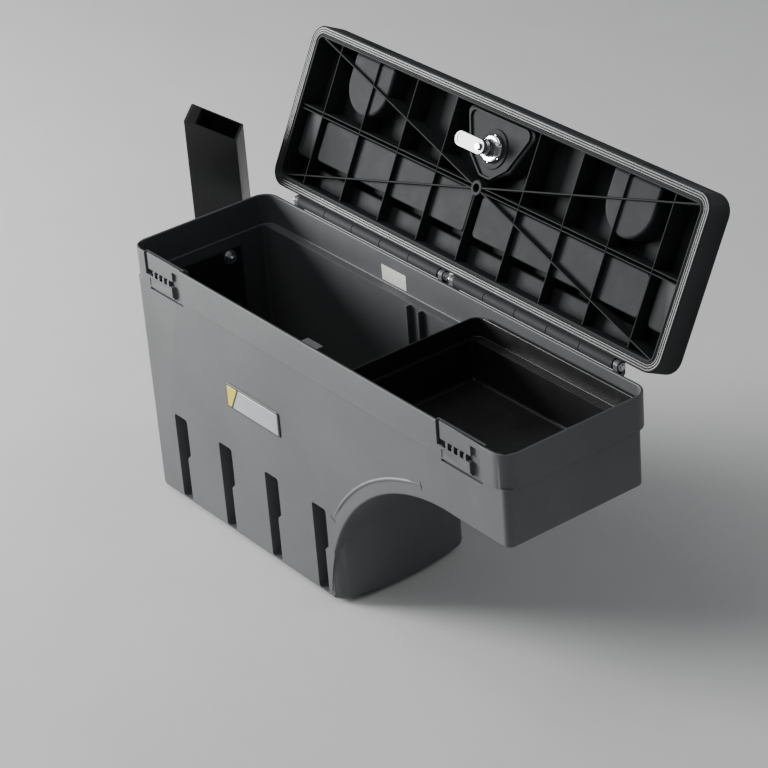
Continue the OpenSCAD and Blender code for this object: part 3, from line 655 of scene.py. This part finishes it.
def lid_ribs():
    """The cross ribs, the long rib pair, the diagonals and the hub."""
    near, far = FLANGE - 1, WIDTH - FLANGE + 1
    root = LID_SKIN + 1
    made = []
    for k in range(-4, 5):
        x = CENTRE + k * RIB_PITCH
        start = 90 if k == 0 else near           # the middle rib starts past the lock dish
        made.append(rib("rib", (x, start), (x, far), root, RIB_TIP, 1.7, 1.0))
    for y in LONG_RIB_YS:
        made.append(rib("rib", (near, y), (LENGTH - near, y), root, RIB_TIP + 0.4, 1.2, 0.8))
    for x0, y0, x1, y1 in ((near, near, LENGTH - near, far), (near, far, LENGTH - near, near)):
        made.append(rib("rib", (x0, y0), (x1, y1), root, RIB_TIP - 0.6, 1.8, 1.1))
    made.append(rod("hub", 9, "Z", CENTRE, HUB_Y, RIB_TIP - 1, root, 40, 1))
    return made


def lock_boss():
    """The raised border and the ring round the lock on the dish's underside."""
    border = form("border", dish_shape(*BORDER), [(0, 9.6), (0, 14)])
    field = form("field", dish_shape(*BORDER), [(2.4, 8), (2.4, 12.6)])
    combine(border, [field], "DIFFERENCE")
    ring = rod("ring", 23, "Z", CENTRE, LOCK_Y, 10.4, 14, 64, 0.8)
    return [border, ring]


cup_shapes = [cup_shape(x) for x in CUPS]
grips = [rect(x, 98, x + GRIP_W, 162, 9) for x in (FLANGE, LENGTH - FLANGE - GRIP_W)]
rests = [rect(x0, HUB_Y + 4, x1, WIDTH - 45, 7)
         for x0, x1 in ((REST_X, CENTRE - REST_GAP), (CENTRE + REST_GAP, LENGTH - REST_X))]
step = rect(STEP_X, WIDTH - 36, LENGTH - STEP_X, WIDTH - FLANGE + 2, 4)
step_mouth = rect(STEP_X, WIDTH - 36, LENGTH - STEP_X, WIDTH - FLANGE, 4)
dish = dish_shape(*DISH, 3)
edge_shape = rect(0, 0, LENGTH, WIDTH, RIM_R, 10)
axis_z = hinge.z - HEIGHT - LID_GAP      # the hinge's height in the lid frame

lid = form("lid_cover", edge_shape,
           [(0.5, 0.4), (0, 1.2), (0, LID_H - CROWN_R)] + crown(0, LID_H, CROWN_R, range(15, 91, 15)))
under = form("under", edge_shape,
             [(WALL, -2), (WALL, LID_SKIN - SKIN_R)] + crown(WALL, LID_SKIN, SKIN_R, (30, 60, 90)))
combine(lid, [under], "DIFFERENCE")
flange = form("flange", edge_shape, flange_profile(), loop=True)
bulges = [bulge("cup", shape, CUP_FACE) for shape in cup_shapes]
bulges += [bulge("grip", shape, GRIP_FACE) for shape in grips]
bulges += [bulge("rest", shape, REST_FACE, 2, 1) for shape in rests]
bulges += [bulge("step", step, STEP_FACE, 2, 1), bulge("dish", dish, DISH_FACE, 3)]
combine(lid, [flange] + bulges, "UNION")
combine(lid, lid_ribs(), "UNION")
combine(lid, [form("clear", dish, [(0, -3), (0, 9.0), (1, 11.95)])], "DIFFERENCE")
combine(lid, lock_boss(), "UNION")
leaf = polygon([(WIDTH - 2, 1.6), (hinge.y, 1.6), (hinge.y - 1.5, 17.6), (WIDTH - 2, 17.6)], 1.2)
knuckles = []
for x in HINGE_XS:
    start, end = x - KNUCKLE_HALF, x + KNUCKLE_HALF
    knuckles.append(rod("knuckle", KNUCKLE_R, "X", hinge.y, axis_z, start, end, 40, 0.6))
    knuckles.append(form("leaf", leaf, [(0, start), (0, end)], "X"))
combine(lid, knuckles, "UNION")
cuts = [recess("cup", cup_mouth(x), CUP_FLOOR) for x in CUPS]
cuts += [recess("grip", shape, GRIP_FLOOR) for shape in grips]
cuts += [recess("rest", shape, REST_FLOOR) for shape in rests]
cuts += [recess("step", step_mouth, STEP_FLOOR), recess("dish", dish_shape(*DISH), DISH_FLOOR)]
cuts += [rod("lock", 9.6, "Z", CENTRE, LOCK_Y, 5, 30, 48), rod("hub", 5, "Z", CENTRE, HUB_Y, 0, 20)]
cuts += [rod("bore", PIN_BORE_R, "X", hinge.y, axis_z, x - PIN_REACH, x + PIN_REACH) for x in HINGE_XS]
for x in HINGE_XS:
    for t in KNUCKLE_JOINTS:
        low, high = (x + t - 0.4, hinge.y - 4.4, -4), (x + t + 0.4, hinge.y + 8, 11.4)
        cuts.append(block("knuckle_gap", low, high, 0.1, "X"))
cuts += [block("notch", (x, -1, 3), (x + 40, 0.8, 12), 1, "Y") for x in (86, 580)]
combine(lid, cuts, "DIFFERENCE")
soften(lid, 0.45, 38, 2)
finish(lid, LID, "lid_plastic", "lid_plastic", "lid", "lid_shell")

# In section the gasket has three rounded lips with grooves between them.
gasket = form("gasket", rect(0, 0, LENGTH, WIDTH, RIM_R, 12),
              [(1.7, 3.8), (1.7, 1.0), (2.2, 0.3), (3.0, 0.15), (3.8, 0.5), (4.1, 1.6), (4.5, 0.5),
               (5.5, 0.15), (6.5, 0.5), (6.9, 1.6), (7.2, 0.5), (8.0, 0.15), (8.8, 0.3), (9.3, 1.0),
               (9.3, 3.8)], loop=True)
finish(gasket, LID, "gasket_rubber", "gasket_rubber", "lid", "lid_gasket")


# ---------------------------------------------------------------- lock

NOTCH_PLACE, NOTCH_HALF = 15.4, 1.4      # the nut's notches: distance from its axis, and half width
nut = lathe("ring_nut", CENTRE, LOCK_Y, [(9.6, 11.8), (9.6, 6.6), (10.4, 5.9), (14.2, 5.9), (15.6, 6.6),
                                         (16.8, 8.6), (16.8, 11.2), (16.2, 11.8)], 72)
notches = []
for k in range(6):
    turn = math.radians(60 * k + 30)
    x, y = CENTRE + NOTCH_PLACE * math.cos(turn), LOCK_Y + NOTCH_PLACE * math.sin(turn)
    low, high = (x - NOTCH_HALF, y - NOTCH_HALF, 4), (x + NOTCH_HALF, y + NOTCH_HALF, 8)
    notches.append(block("notch", low, high, 1))
combine(nut, notches, "DIFFERENCE")
soften(nut, 0.3, 38, 2)
finish(nut, LID, "chrome", "chrome", "lid", "lock_nut")

CAM_Z, CAM_T = -11.9, 3  # under the lid's edge
CAM_REACH, CAM_HALF = 33, 9
tip_x = CENTRE - CAM_REACH


def cam_outline(inset):
    """The cam from below: a bar with round ends."""
    r = CAM_HALF - inset
    return arc(tip_x, LOCK_Y, r, 90, 270, 20) + arc(CENTRE, LOCK_Y, r, -90, 90, 20)


cam = form("cam_arm", cam_outline,
           [(0.5, CAM_Z), (0, CAM_Z + 0.5), (0, CAM_Z + CAM_T - 0.5), (0.5, CAM_Z + CAM_T)])
dimple = rod("dimple", 5.4, "Z", tip_x, LOCK_Y, CAM_Z - 1, CAM_Z + 0.7, 40)
hole = rod("hole", 2.2, "Z", CENTRE, LOCK_Y, CAM_Z - 1, CAM_Z + 5)
combine(cam, [dimple, hole], "DIFFERENCE")
soften(cam, 0.25, 38, 2)
finish(cam, LID, "cam_silver", "zinc_steel", "lock", "lock_cam")


# ---------------------------------------------------------------- tray

TRAY_TOP, TRAY_FOOT, SHOULDER = HEIGHT - 13, HEIGHT - 89, BAND_Z + WALL + 0.2
rim_shape, bowl_shape = rect(414, 9, 688, 195, 14, 8), rect(418, 16, 680, 183, 8, 8)
tray = form("tray_bin", bowl_shape, [(1.5 + i, z) for i, z in levels(TRAY_FOOT, TRAY_FOOT + 5, 4)]
            + [(0, SHOULDER + 3)])
skirt = form("skirt", rim_shape,
             [(1.2, SHOULDER), (0.4, SHOULDER + 1), (0.4, TRAY_TOP - 6), (0, TRAY_TOP - 5.4),
              (0, TRAY_TOP - 1.2), (0.4, TRAY_TOP - 0.3), (1.2, TRAY_TOP)])
combine(tray, [skirt], "UNION")
hollow = form("hollow", bowl_shape, [(4.2 + i, z) for i, z in levels(TRAY_FOOT + 2.5, TRAY_FOOT + 7, 4)]
              + [(2.6, SHOULDER + 4)])
mouth = form("mouth", rim_shape,
             [(3.4, SHOULDER + 2.5), (2.8, SHOULDER + 3.4), (2.8, TRAY_TOP - 1.2), (2.2, TRAY_TOP + 1)])
combine(hollow, [mouth], "UNION")
combine(tray, [hollow], "DIFFERENCE")
soften(tray, 0.5, 38, 2)
finish(tray, CASE, "tray_plastic", "tray_plastic", "tray", "tray")


# ---------------------------------------------------------------- badge

FIELD_LOW, FIELD_HIGH = 187.5, 214.5     # the coloured fields, 2.5 mm inside the plate
badge = form("badge_back", rect(178, FIELD_LOW - 2.5, 283, FIELD_HIGH + 2.5, 3),
             [(0, FACE_Y), (0, FACE_Y - 0.9), (0.5, FACE_Y - 1.4)], "Y")
finish(badge, CASE, "badge_black", "badge_silver", "case", "badge_plate")
silver = polygon([(190, FIELD_LOW), (280.5, FIELD_LOW), (280.5, FIELD_HIGH), (204, FIELD_HIGH)], 1.2)
panel = form("badge_panel", silver,
             [(0, FACE_Y - 1.3), (0, FACE_Y - 1.7), (0.4, FACE_Y - 2)], "Y")
finish(panel, CASE, "badge_silver", "badge_silver", "case")
yellow = polygon([(180.5, FIELD_LOW), (187, FIELD_LOW), (201, FIELD_HIGH), (180.5, FIELD_HIGH)], 1)
bar = form("badge_bar", yellow,
           [(0, FACE_Y - 1.3), (0, FACE_Y - 1.6), (0.3, FACE_Y - 1.9)], "Y")
finish(bar, CASE, "badge_yellow", "badge_silver", "case")


# ---------------------------------------------------------------- carried-over steel and small parts

slot_of = {s["node"]: s["material_slot"] for s in record["subparts"]}
EDGE_M, SPRING_EDGE_M = 0.0006, 0.0002  # rounding of the edges, in metres
REPLACED = {"tub", "lid_shell", "lid_gasket", "lock_nut", "lock_cam", "tray", "badge_plate"}
for name, node in frame["nodes"].items():
    if name in REPLACED:
        continue
    node.data.materials.clear()
    node.data.materials.append(FINISHES[slot_of[name]])
    weld = node.modifiers.new("weld", "WELD")
    weld.merge_threshold = 0.00001
    flat = node.modifiers.new("flat", "DECIMATE")
    flat.decimate_type = "DISSOLVE"
    flat.angle_limit = math.radians(1.0)
    soft = node.modifiers.new("soft", "BEVEL")
    soft.width = SPRING_EDGE_M if name == "latch_spring" else EDGE_M
    soft.segments = 2
    soft.limit_method = "ANGLE"
    soft.angle_limit = math.radians(30)
    soft.harden_normals = True


# ---------------------------------------------------------------- floor, camera and lights

centre = (case_low + case_high) / 2
FLOOR_HALF = 12.0
floor_z = cad_box[0].z - 0.004
corners = [(-1, -1), (1, -1), (1, 1), (-1, 1)]
floor_mesh = bpy.data.meshes.new("floor")
floor_mesh.from_pydata([(x * FLOOR_HALF, y * FLOOR_HALF, floor_z) for x, y in corners], [], [(0, 1, 2, 3)])
floor = bpy.data.objects.new("floor", floor_mesh)
bpy.context.scene.collection.objects.link(floor)
floor_grey = surface("floor_grey", (0.68, 0.68, 0.67), 0.8, grain=60, bump=0.0002, spread=0.02)
floor_mesh.materials.append(floor_grey)

# The photo's viewing angle. The camera starts along that axis and turns to the target the shortest way.
LENS = 132
VIEW_YAW, VIEW_PITCH = math.radians(44.5), math.radians(25.1)
eye = case_low + Vector((2.622, -1.513, 1.808))
target = case_low + Vector((0.335, 0.115, 0.232))
level = math.cos(VIEW_PITCH)
axis = Vector((-math.sin(VIEW_YAW) * level, math.cos(VIEW_YAW) * level, -math.sin(VIEW_PITCH)))
camera_data = bpy.data.cameras.new("camera")
camera_data.lens = LENS
camera = bpy.data.objects.new("camera", camera_data)
camera.location = eye
camera.rotation_mode = "QUATERNION"
camera.rotation_quaternion = axis.rotation_difference(target - eye) @ axis.to_track_quat("-Z", "Y")
bpy.context.scene.collection.objects.link(camera)
bpy.context.scene.camera = camera


def area_light(name, direction, distance, size, power):
    """A round soft light that faces the case from a direction."""
    data = bpy.data.lights.new(name, "AREA")
    data.shape = "DISK"
    data.size = size
    data.energy = power
    light = bpy.data.objects.new(name, data)
    direction = Vector(direction).normalized()
    light.location = centre + direction * distance
    light.rotation_mode = "QUATERNION"
    light.rotation_quaternion = direction.to_track_quat("Z", "Y")
    bpy.context.scene.collection.objects.link(light)


area_light("key", (-0.78, -0.56, 0.22), 3.2, 1.5, 222)
area_light("top", (-0.2, -0.3, 1.0), 3.0, 2.4, 26)
area_light("rim", (0.5, 0.9, 0.6), 3.0, 1.6, 14)

world = bpy.data.worlds.new("world")
world.use_nodes = True
sky = world.node_tree.nodes["Background"]
sky.inputs["Color"].default_value = (0.86, 0.9, 0.95, 1)
sky.inputs["Strength"].default_value = 0.2
bpy.context.scene.world = world
